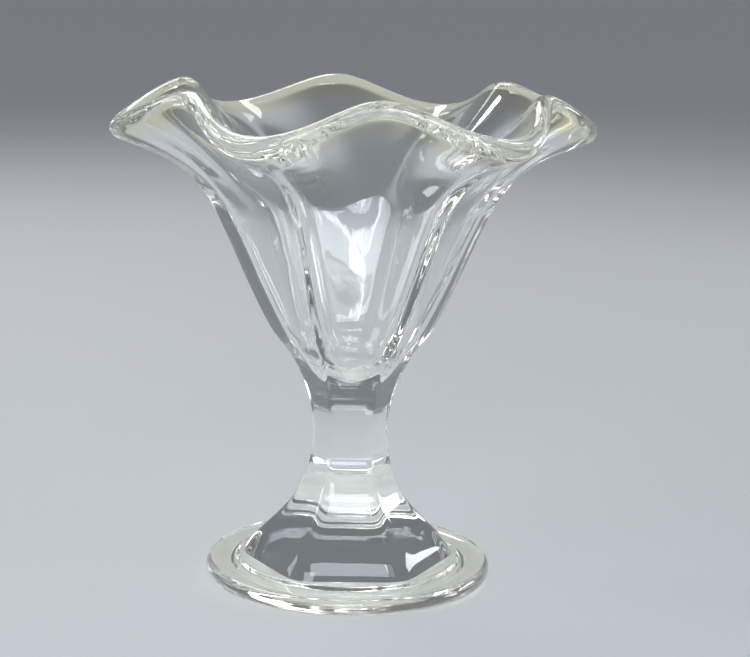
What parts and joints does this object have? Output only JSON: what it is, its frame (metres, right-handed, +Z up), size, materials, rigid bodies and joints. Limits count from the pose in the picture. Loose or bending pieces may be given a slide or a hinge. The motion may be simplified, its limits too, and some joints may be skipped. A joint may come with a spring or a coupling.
{
  "type": "ice cream glass",
  "caption": "Footed clear glass for ice cream: a thick panelled bowl with drooping petals round its rim, on a solid waisted stem and a round foot.",
  "frame": {"origin": "centre of the foot, in the plane that it rests on", "axes": "+Z up the axis of the glass, out of its mouth; +X out through the tip of one petal"},
  "size_m": [0.136, 0.1226, 0.14],
  "materials": {
    "bowl_glass": "clear, smooth, fire-polished",
    "stem_glass": "clear, smooth, fire-polished",
    "foot_glass": "clear, smooth, fire-polished"
  },
  "bodies": {
    "root": {"bowl": "bowl_glass", "stem": "stem_glass", "foot": "foot_glass"}
  },
  "joints": []
}
